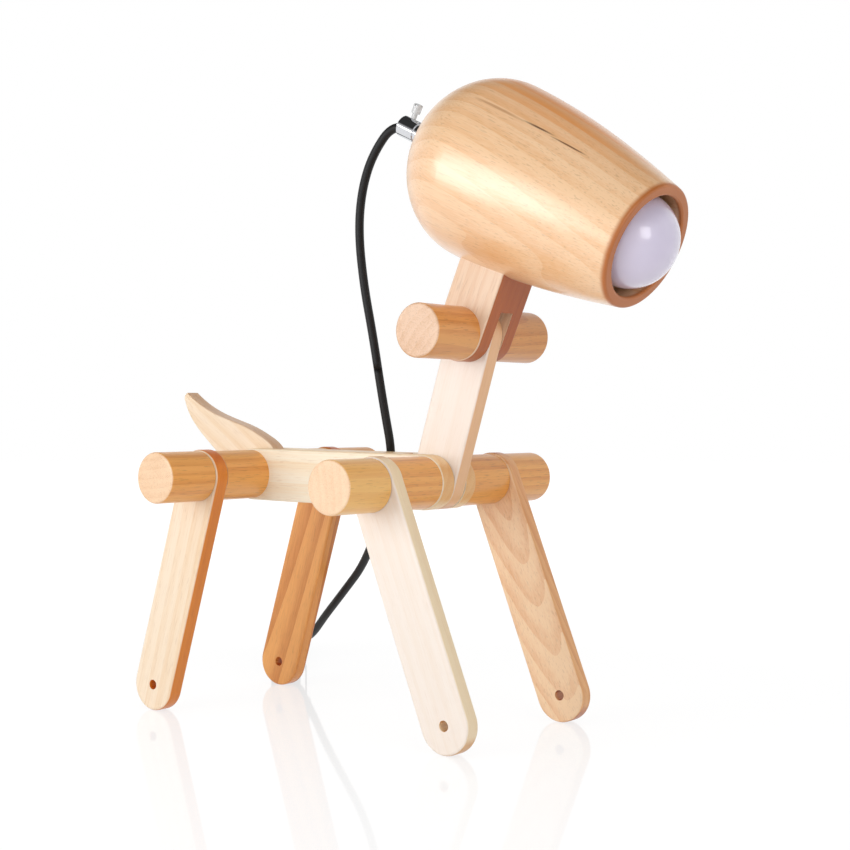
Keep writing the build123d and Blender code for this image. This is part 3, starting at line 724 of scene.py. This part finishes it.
@dataclass
class Trunk:
    """Spine, body dowels, rods, washers and the tail, in metres and radians."""

    spine_heart: Triple = (0.0, 0.09, -0.05)
    tail_heart: Triple = (0.02, 0.06, 0.05)
    tail_lean: Triple = (-0.82, 0.0, 0.57)
    # How far each dowel piece is turned about its axis in the log, so that no two show the same rings.
    end_turns: Turns = (("rear", 0.4), ("front", 1.9))
    part_turns: Turns = (("spacer", 0.0), ("stub", 2.1))
    side_turn: float = 0.8
    dowel_heart: float = 0.12
    # The one dowel piece from pale wood.
    straw_node: str = "front_right_stub"

    def dress(self) -> None:
        """Give every trunk piece its finish."""
        rear, front = joint_vector("tail_swing"), joint_vector("neck_swing")
        spine = SPINE_BLOCK.cut("Rubberwood spine", rear, front - rear, Vector(self.spine_heart))
        dress(spine, "spine")
        tail = TAIL_BOARD.cut("Rubberwood tail", rear, Vector(self.tail_lean), Vector(self.tail_heart))
        dress(tail, "tail")
        for end, end_turn in self.end_turns:
            for side in Side:
                for part, part_turn in self.part_turns:
                    angle = end_turn + part_turn + self.side_turn * side.value
                    self.dress_dowel(f"{end}_{side.word}_{part}", angle)
        dress(ZINC_STEEL.material, "rear_rod", "front_rod")
        dress(FIBRE.material, "trunk_washers")
        dress(BRASS.material, "trunk_inserts")

    def dress_dowel(self, node: str, angle: float) -> None:
        """Give one dowel piece its own cut of wood.

        Args:
            node: Node name.
            angle: How far it is turned about its axis in the log.
        """
        stock = STRAW_DOWEL if node == self.straw_node else HONEY_DOWEL
        heart = Vector((math.cos(angle), 0, math.sin(angle))) * self.dowel_heart
        dress(stock.cut(f"Rubberwood {node}", middle(node), Vector((0, 1, 0)), heart), node)


@dataclass(frozen=True)
class BoardCut:
    """How one board was sawn: its finish, the log's heart from its middle, and the slope of its fibres."""

    finish: LacqueredRubberwood
    heart: Triple
    slope: Triple


@dataclass
class Legs:
    """Four leg boards."""

    cuts: dict[str, BoardCut] = field(default_factory=lambda: {
        "rear_right": BoardCut(PALE_BOARD, (0.06, 0.05, 0.0), (0.0, 0.02, 0.0)),
        "rear_left": BoardCut(TAN_BOARD, (-0.03, 0.045, 0.0), (0.03, 0.05, 0.0)),
        "front_right": BoardCut(CREAM_BOARD, (0.08, 0.04, 0.0), (0.0, 0.02, 0.0)),
        "front_left": BoardCut(ROSE_BOARD, (0.006, 0.02, 0.0), (0.03, 0.2, 0.0)),
    })

    def dress(self) -> None:
        """Give each leg its own cut of wood."""
        mounts = {m["name"]: Vector(m["pos_m"]) for m in frame["record"]["mounts"]}
        for name, board in self.cuts.items():
            along = mounts[f"{name}_foot_hole"] - joint_vector(f"{name}_leg_swing")
            along.y = 0
            fibres = along.normalized() + Vector(board.slope)
            node = f"{name}_leg"
            dress(board.finish.cut(f"Rubberwood {node}", middle(node), fibres, Vector(board.heart)), node)


@dataclass
class Head:
    """Neck, fork, head dowel, shade, holder fittings and cord grip, in metres."""

    neck_heart: Triple = (0.05, 0.08, 0.0)
    fork_fibres: Triple = (0.4, 0.0, 0.92)
    fork_heart: Triple = (0.06, -0.05, 0.0)
    stub_fibres: Triple = (0.06, 1.0, 0.04)
    stub_heart: float = 0.05
    shade_heart: Triple = (0.03, 0.05, 0.1)
    # Brown end grain on the rim, deepened further as painted shade; deeper wood with painted shade over the upper
    # side; and thin dark lines along it.
    shade_marks: tuple[Streak, ...] = (
        # Painted shade: the rim, turned from the lights, darkened beyond its end grain.
        Streak((0.1851, 0.0, 0.3027), (0.889, 0.0, -0.457), 220, 4.5, "#b5621c", 0.95, 1.0),
        # Painted shade: the upper side made deeper and more orange, over a deeper wood tone.
        Streak((0.145, -0.006, 0.408), (0.86, 0.02, -0.5), 52, 140, "#fca24a", 1.0, banded=True),
        Streak((0.1315, -0.0386, 0.3758), (0.853, 0.161, -0.497), 1.2, 19, "#582a0e", 1.0, 0.9),
        Streak((0.153, -0.0352, 0.3616), (0.853, 0.161, -0.497), 0.9, 20, "#6b3512", 0.9, 0.9),
        Streak((0.107, -0.0415, 0.3888), (0.88, 0.05, -0.472), 1.6, 34, "#b06a2a", 0.55, 0.5),
    )

    def dress(self) -> None:
        """Give every head piece its finish."""
        self.dress_wood()
        dress(ZINC_STEEL.material, "head_rod", "fork_screws", "threaded_tube", "inner_washer", "inner_nut")
        dress(CHROME.material, "cord_grip", "back_washer")
        dress(CLEAR_NYLON.material, "thumb_screw")
        dress(FIBRE.material, "head_washers")
        dress(BRASS.material, "head_inserts", "thread_shell", "centre_contact")
        dress(BLACK_HOLDER.material, "holder_shell", "holder_cap", "holder_core")

    def dress_wood(self) -> None:
        """Give each wooden piece its own cut of wood."""
        front, pivot = joint_vector("neck_swing"), joint_vector("head_nod")
        dress(NECK_BOARD.cut("Rubberwood neck", front, pivot - front, Vector(self.neck_heart)), "neck")
        fork = FORK_BLOCK.cut("Rubberwood fork", pivot, Vector(self.fork_fibres), Vector(self.fork_heart))
        dress(fork, "head_fork")
        ahead = joint_vector("bulb_turn", "axis")
        shade = TURNED_SHADE.cut(
            "Turned rubberwood shade", middle("shade"), ahead, Vector(self.shade_heart), self.shade_marks
        )
        dress(shade, "shade")
        for side in Side:
            node = f"head_{side.word}_stub"
            heart = Vector((self.stub_heart, 0, self.stub_heart * side.value))
            stub = HEAD_DOWEL.cut(f"Rubberwood {node}", middle(node), Vector(self.stub_fibres), heart)
            dress(stub, node)


class Bulb:
    """Frosted bulb in the shade."""

    def dress(self) -> None:
        """Give every bulb piece its finish."""
        dress(FROSTED_DOME.material, "bulb_dome")
        dress(WHITE_HOUSING.material, "bulb_housing")
        dress(LED_BOARD.material, "led_board")
        dress(CAP_METAL.material, "bulb_cap")
        dress(BLACK_HOLDER.material, "bulb_insulator")
        dress(BRASS.material, "bulb_tip")


def loft(name: str, rows: list[list[Vector]], material: Material) -> Piece:
    """Make a closed skin over rings of points.

    Args:
        name: Piece name.
        rows: Rings with the same number of points, from one end to the other.
        material: Finish.

    Returns:
        The new piece.
    """
    bm = bmesh.new()
    rings = [[bm.verts.new(spot) for spot in row] for row in rows]
    for first, second in zip(rings, rings[1:]):
        for k in range(len(first)):
            after = (k + 1) % len(first)
            bm.faces.new((first[k], first[after], second[after], second[k])).smooth = True
    bm.faces.new(list(reversed(rings[0])))
    bm.faces.new(rings[-1])
    bmesh.ops.recalc_face_normals(bm, faces=bm.faces[:])
    mesh = bpy.data.meshes.new(name)
    bm.to_mesh(mesh)
    bm.free()
    mesh.materials.append(material)
    piece = bpy.data.objects.new(name, mesh)
    bpy.context.scene.collection.objects.link(piece)
    LOG.info("built %s", piece.name)
    return piece


@dataclass
class Hank:
    """Hank of spare cord behind the rear left leg, in metres."""

    centre: Vector = field(default_factory=lambda: Vector((-0.2554, 0.1669, 0)))
    heading: Vector = field(default_factory=lambda: Vector((-0.649, 0.761, 0)).normalized())
    # Radius of the folds, half the distance between their middles, and half the height at the waist.
    fold: float = 0.018
    half: float = 0.054
    waist: float = 0.011
    pitch: float = 0.0069
    turns: int = 3
    radius: float = 0.003
    # Where the straight part of a turn ends, as a share of the half distance.
    run_share: float = 0.463
    fold_spots: int = 5
    # Angle in degrees at which the last fold lets the cord climb to the plug.
    climb: float = 26.0
    # Where the cord comes in, the way up over the hank, and the way along it to the plug.
    entry: Triple = (-0.0349, 0.0076, 0.018)
    rise: tuple[float, float] = (-0.0408, 0.0475)
    way_out: tuple[Triple, Triple] = ((-0.0155, 0.004, 0.0504), (0.005, 0.004, 0.0504))

    @property
    def height(self) -> float:
        """Height of the hank's middle line over the floor."""
        return self.radius + self.fold

    def place(self, along: float, aside: float, up: float) -> Vector:
        """Find a point in the lamp's frame from the hank's own directions.

        Args:
            along: Distance along the hank from its waist.
            aside: Distance to the right of its heading.
            up: Height over the floor.

        Returns:
            The point.
        """
        right = Vector((self.heading.y, -self.heading.x, 0))
        return self.centre + self.heading * along + right * aside + Vector((0, 0, up))

    def round_fold(self, along: float, aside: float, first: float, last: float) -> list[Vector]:
        """Find the control points round one fold.

        Args:
            along: Fold's middle along the hank.
            aside: Layer of the turn.
            first: Angle in degrees where the fold begins, from the heading upwards.
            last: Angle in degrees where it ends.

        Returns:
            Points in order.
        """
        step = math.radians(last - first) / self.fold_spots
        size = self.fold / math.cos(step / 2)
        spots = []
        for k in range(self.fold_spots):
            angle = math.radians(first) + step * (k + 0.5)
            up = self.height + size * math.sin(angle)
            spots.append(self.place(along + size * math.cos(angle), aside, up))
        return spots

    def points(self) -> list[Vector]:
        """Find the control points of the turns, from the lamp's side to the plug.

        Returns:
            Points in order.
        """
        hollow = (self.half ** 2 + self.waist ** 2 - self.fold ** 2) / (2 * (self.fold - self.waist))
        lean = math.degrees(math.atan2(self.half, hollow + self.waist))
        run = self.half * self.run_share
        spots = [self.place(*self.entry)]
        for turn in range(1, self.turns + 1):
            aside = (self.turns / 2 - turn) * self.pitch
            if turn > 1:
                spots.append(self.place(-run, aside + self.pitch, self.height + self.waist))
            spots.append(self.place(run, aside, self.height + self.waist))
            spots += self.round_fold(self.half, aside, 90 + lean, -90 - lean)
            spots.append(self.place(run, aside, self.height - self.waist))
            spots.append(self.place(-run, aside, self.height - self.waist))
            end = (self.climb if turn == self.turns else -lean) - 270
            spots += self.round_fold(-self.half, aside, lean - 90, end)
        spots.append(self.place(self.rise[0], aside, self.rise[1]))
        return spots + [self.place(*spot) for spot in self.way_out]


@dataclass
class Tie:
    """Woven tape wound round the hank's waist, its end laid over itself, in metres."""

    hank: Hank
    half_wide: float = 0.01248
    half_tall: float = 0.0144
    corner: float = 0.003
    width: float = 0.012
    thickness: float = 0.0012
    aside: float = -0.001275
    corner_steps: int = 8
    turns: float = 1.36
    # Rise of the tape in one turn, in thicknesses, a little over one so that the layers stay apart.
    lap: float = 1.03
    # Outline of the tape with its edges rounded, as shares of its half width and its thickness.
    section: tuple[tuple[float, float], ...] = (
        (-1, 0.3), (-0.94, 0), (0.94, 0), (1, 0.3), (1, 0.7), (0.94, 1), (-0.94, 1), (-1, 0.7),
    )

    def ring(self) -> list[tuple[Vector, Vector]]:
        """Find points round the waist with their outward directions.

        Returns:
            Pairs of point and direction, the hank's aside as X and up as Z.
        """
        spots = []
        for k, (x, z) in enumerate(((1, 1), (-1, 1), (-1, -1), (1, -1))):
            inner = Vector((x * (self.half_wide - self.corner), 0, z * (self.half_tall - self.corner)))
            for step in range(self.corner_steps + 1):
                angle = math.pi / 2 * (k + step / self.corner_steps)
                out = Vector((math.cos(angle), 0, math.sin(angle)))
                spots.append((inner + out * self.corner, out))
        return spots

    def build(self) -> Piece:
        """Make the tape.

        Returns:
            The new piece.
        """
        ring = self.ring()
        rows = []
        for i in range(int(len(ring) * self.turns)):
            spot, out = ring[i % len(ring)]
            lift = self.thickness * self.lap * i / len(ring)
            row = []
            for across, share in self.section:
                place = spot + out * (lift + self.thickness * share)
                row.append(self.hank.place(
                    across * self.width / 2, self.aside + place.x, self.hank.height + place.z
                ))
            rows.append(row)
        piece = loft("hank_tape", rows, TIE_TAPE.material)
        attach(piece, "trunk")
        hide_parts("hank_tie")
        return piece


@dataclass(frozen=True)
class Run:
    """One free stretch of the cord, from its exit to its far end."""

    name: str
    # Control points in metres.
    points: list[Vector]
    stands_for: tuple[str, ...]
    far_end: str
    lay: Lay
    # Body at its far end, and the body at its exit.
    body: str
    exit_body: str = ""
    held: int = 0
    # Frame nodes that hang on it.
    fittings: tuple[str, ...] = ()
    tied: bool = False


@dataclass
class CordSet:
    """Black cord from the grip over the switch to the plug, its routes in millimetres."""

    diameter: float = 0.006
    sides: int = 16
    spline_order: int = 3
    spline_steps: int = 8
    upper: tuple[Triple, ...] = (
        (8.0, 0.0, 393.7), (-6.1, 0.0, 401.0), (-26.8, 1.6, 381.6), (-38.8, 4.4, 359.0),
        (-44.8, 7.8, 331.0), (-43.8, 12.0, 294.6), (-39.5, 16.4, 260.0), (-37.4, 19.1, 237.0),
    )
    middle: tuple[Triple, ...] = (
        (-37.4, 19.1, 237.0), (-35.3, 21.8, 214.0), (-29.8, 27.0, 170.8), (-45.7, 38.8, 152.4),
    )
    lower: tuple[Triple, ...] = (
        (-68.5, 55.9, 125.7), (-91.4, 72.9, 99.1), (-130.9, 87.0, 67.6), (-155.4, 97.0, 49.5),
        (-179.2, 110.2, 32.8), (-199.6, 125.2, 26.5),
    )
    switch: tuple[str, ...] = ("switch_base", "switch_cover", "switch_rocker", "switch_contacts")
    plug: tuple[str, ...] = ("plug_relief", "plug_body", "plug_blades")
    hank: Hank = field(default_factory=Hank)

    def runs(self) -> list[Run]:
        """List the free stretches.

        Returns:
            Stretches in order, from the grip to the plug.
        """
        upper, middle_run, lower = (
            [Vector(spot) * MM for spot in route] for route in (self.upper, self.middle, self.lower)
        )
        return [
            Run("cord_upper_run", upper, ("cord_upper",), "object", Lay.HANGING,
                "neck_body", "head", held=1),
            Run("cord_middle_run", middle_run, ("cord_middle",), "fitting", Lay.HANGING,
                "trunk", "neck_body", fittings=self.switch),
            Run("cord_lower_run", lower + self.hank.points(), ("cord_lower", "cord_hank"), "plug",
                Lay.COILED, "trunk", fittings=self.plug, tied=True),
        ]

    def smooth(self, points: list[Vector]) -> list[Vector]:
        """Read the smooth line of a route from its spline.

        Args:
            points: Control points in metres.

        Returns:
            Points along the line.
        """
        curve = bpy.data.curves.new("route", "CURVE")
        curve.dimensions = "3D"
        curve.resolution_u = self.spline_steps
        spline = curve.splines.new("NURBS")
        spline.points.add(len(points) - 1)
        for spot, point in zip(points, spline.points):
            point.co = (*spot, 1)
        spline.order_u = self.spline_order
        spline.use_endpoint_u = True
        holder = bpy.data.objects.new("route", curve)
        bpy.context.scene.collection.objects.link(holder)
        mesh = bpy.data.meshes.new_from_object(holder)
        line = [v.co.copy() for v in mesh.vertices]
        bpy.data.objects.remove(holder)
        bpy.data.curves.remove(curve)
        bpy.data.meshes.remove(mesh)
        return line

    def rings(self, line: list[Vector]) -> list[list[Vector]]:
        """Find the rings of a round tube along a line.

        Args:
            line: Points along its middle.

        Returns:
            One ring of points for each point of the line.
        """
        ahead = [(b - a).normalized() for a, b in zip(line, line[1:])]
        ways = [ahead[0]] + [(a + b).normalized() for a, b in zip(ahead, ahead[1:])] + [ahead[-1]]
        angles = [2 * math.pi * k / self.sides for k in range(self.sides)]
        normal = ahead[0].orthogonal().normalized()
        rings = []
        for spot, way in zip(line, ways):
            normal = (normal - way * normal.dot(way)).normalized()
            other = way.cross(normal)
            rings.append([
                spot + (normal * math.cos(a) + other * math.sin(a)) * self.diameter / 2 for a in angles
            ])
        return rings

    def build_run(self, run: Run) -> None:
        """Args:
            run: The stretch.
        """
        line = self.smooth(run.points)
        piece = loft(run.name, self.rings(line), CORD_SKIN.material)
        if run.exit_body:
            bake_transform(piece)
        else:
            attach(piece, run.body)
        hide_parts(*run.stands_for)
        hung = [frame["nodes"][node] for node in run.fittings]
        if run.tied:
            hung.append(Tie(self.hank).build())

    def build(self) -> None:
        """Make the free stretches and dress the cord's fittings."""
        dress(CORD_SKIN.material, "cord_inner")
        for run in self.runs():
            self.build_run(run)
        dress(BLACK_CASE.material, "switch_base", "switch_cover", "switch_rocker", "plug_relief", "plug_body")
        dress(BRASS.material, "switch_contacts", "plug_blades")


@dataclass(frozen=True)
class SoftBox:
    """Rectangular soft light, in metres and watts."""

    name: str
    place: Triple
    target: Triple
    wide: float
    high: float
    power: float
    # Whether polished faces mirror it.
    mirrored: bool = True

    def hang(self) -> None:
        """Add the light to the scene."""
        data = bpy.data.lights.new(self.name, "AREA")
        data.shape = "RECTANGLE"
        data.size = self.wide
        data.size_y = self.high
        data.energy = self.power
        lamp = bpy.data.objects.new(self.name, data)
        lamp.visible_camera = False
        lamp.visible_glossy = self.mirrored
        lamp.location = self.place
        way = Vector(self.target) - Vector(self.place)
        lamp.rotation_euler = way.to_track_quat("-Z", "Y").to_euler()
        bpy.context.scene.collection.objects.link(lamp)


@dataclass
class Studio:
    """Camera, floor, soft lights and white surroundings."""

    camera_at: Triple = (0.6351, -0.8078, 0.1995)
    # In degrees, apart from the roll in radians.
    azimuth: float = 37.384
    elevation: float = 0.083
    roll: float = -0.0055
    lens_mm: float = 65.28
    sensor_mm: float = 36.0
    floor_size: float = 6.0
    soft_boxes: tuple[SoftBox, ...] = (
        SoftBox("key", (-0.38, -1.06, 0.38), (0.0, 0.0, 0.3), 0.85, 0.55, 5.4),
        SoftBox("front", (1.24, -0.5, 0.45), (0.1, 0.0, 0.25), 0.5, 0.5, 3.0),
        SoftBox("top", (0.0, -0.2, 1.7), (0.0, 0.0, 0.2), 1.2, 1.2, 3.3, mirrored=False),
    )
    # Strength of the world as a light. To the eye it is plain white.
    ambient: float = 0.5
    # Middle of the dark flag overhead that the lacquer and the chrome mirror.
    flag_way: Triple = (0.0, -0.15, 0.99)
    flag_strength: float = 0.04

    def build(self) -> None:
        """Set up the whole studio."""
        self.camera()
        self.floor()
        for box in self.soft_boxes:
            box.hang()
        self.world()
        bpy.context.scene.view_settings.view_transform = "Standard"

    def camera(self) -> None:
        """Place the camera at the photograph's angle."""
        turn, rise = math.radians(self.azimuth), math.radians(self.elevation)
        ahead = Vector((-math.sin(turn) * math.cos(rise), math.cos(turn) * math.cos(rise), -math.sin(rise)))
        level = Vector((math.cos(turn), math.sin(turn), 0))
        upright = level.cross(ahead)
        right = level * math.cos(self.roll) + upright * math.sin(self.roll)
        up = upright * math.cos(self.roll) - level * math.sin(self.roll)
        data = bpy.data.cameras.new("camera")
        data.sensor_fit = "HORIZONTAL"
        data.sensor_width = self.sensor_mm
        data.lens = self.lens_mm
        data.clip_start = 0.01
        view = bpy.data.objects.new("camera", data)
        matrix = Matrix((right, up, -ahead)).transposed().to_4x4()
        matrix.translation = Vector(self.camera_at)
        view.matrix_world = matrix
        bpy.context.scene.collection.objects.link(view)
        bpy.context.scene.camera = view

    def floor(self) -> None:
        """Lay the floor."""
        bm = bmesh.new()
        bmesh.ops.create_grid(bm, x_segments=1, y_segments=1, size=self.floor_size)
        mesh = bpy.data.meshes.new("floor")
        bm.to_mesh(mesh)
        bm.free()
        floor = bpy.data.objects.new("floor", mesh)
        bpy.context.scene.collection.objects.link(floor)
        mesh.materials.append(self.sweep())

    def sweep(self) -> Material:
        """Make the floor's paper: white with a faint shadow and a faint gloss near the lamp.

        Returns:
            The material.
        """
        material, tree, paper = blank_material("White sweep")
        feed(tree, paper, {"Base Color": srgb("#f4f4f4"), "Roughness": 0.6})
        white = add_node(tree, "Emission", inputs={"Color": WHITE, "Strength": 1.09})
        path = add_node(tree, "LightPath").outputs
        seen = add_node(tree, "Math", {"operation": "MAXIMUM"},
                        {0: path["Is Camera Ray"], 1: path["Is Glossy Ray"]}).outputs[0]
        where = add_node(tree, "TexCoord").outputs["Object"]
        away = add_node(tree, "VectorMath", {"operation": "LENGTH"}, {0: where}).outputs["Value"]
        lift = add_node(tree, "MapRange", inputs={
            "Value": away, "From Min": 0.35, "From Max": 1.0, "To Min": 0.82, "To Max": 1.0,
        }).outputs[0]
        share = add_node(tree, "Math", MULTIPLY, {0: seen, 1: lift}).outputs[0]
        plain = add_node(tree, "MixShader", inputs={0: share, 1: paper.outputs[0], 2: white.outputs[0]})
        sheen = add_node(tree, "BsdfGlossy", inputs={"Color": WHITE, "Roughness": 0.05})
        graze = add_node(tree, "Fresnel", inputs={"IOR": 1.09}).outputs[0]
        near = add_node(tree, "MapRange", inputs={
            "Value": away, "From Min": 0.5, "From Max": 1.2, "To Min": 1.0, "To Max": 0.0,
        }).outputs[0]
        gloss = add_node(tree, "Math", MULTIPLY, {0: graze, 1: near}).outputs[0]
        both = add_node(tree, "MixShader", inputs={0: gloss, 1: plain.outputs[0], 2: sheen.outputs[0]})
        output = next(n for n in tree.nodes if n.type == "OUTPUT_MATERIAL")
        feed(tree, output, {"Surface": both.outputs[0]})
        return material

    def world(self) -> None:
        """Surround the lamp with white, and with a dark flag that only polished faces mirror."""
        world = bpy.data.worlds.new("studio")
        bpy.context.scene.world = world
        world.use_nodes = True
        tree = world.node_tree
        tree.nodes.clear()
        path = add_node(tree, "LightPath").outputs
        way = add_node(tree, "TexCoord").outputs["Generated"]
        flag = add_node(tree, "VectorMath", {"operation": "DOT_PRODUCT"},
                        {0: way, 1: self.flag_way}).outputs["Value"]
        mirrored = add_node(tree, "MapRange", inputs={
            "Value": flag, "From Min": 0.35, "From Max": 0.66, "To Min": 1.0, "To Max": self.flag_strength,
        }).outputs[0]
        strength = add_node(tree, "Mix", inputs={
            FACTOR: path["Is Glossy Ray"], NUMBER_A: self.ambient, NUMBER_B: mirrored,
        }).outputs[0]
        white = add_node(tree, "Math", {"operation": "MAXIMUM"},
                         {0: path["Is Camera Ray"], 1: path["Is Transmission Ray"]}).outputs[0]
        strength = add_node(tree, "Mix", inputs={
            FACTOR: white, NUMBER_A: strength, NUMBER_B: 1.0,
        }).outputs[0]
        sky = add_node(tree, "Background", inputs={"Color": WHITE, "Strength": strength})
        add_node(tree, "OutputWorld", inputs={"Surface": sky.outputs[0]})


def main() -> None:
    """Build every sub-assembly in order."""
    logging.basicConfig(level=logging.INFO, format="%(name)s: %(message)s")
    Studio().build()
    Trunk().dress()
    Legs().dress()
    Head().dress()
    Bulb().dress()
    CordSet().build()


if __name__ == "__main__":
    main()
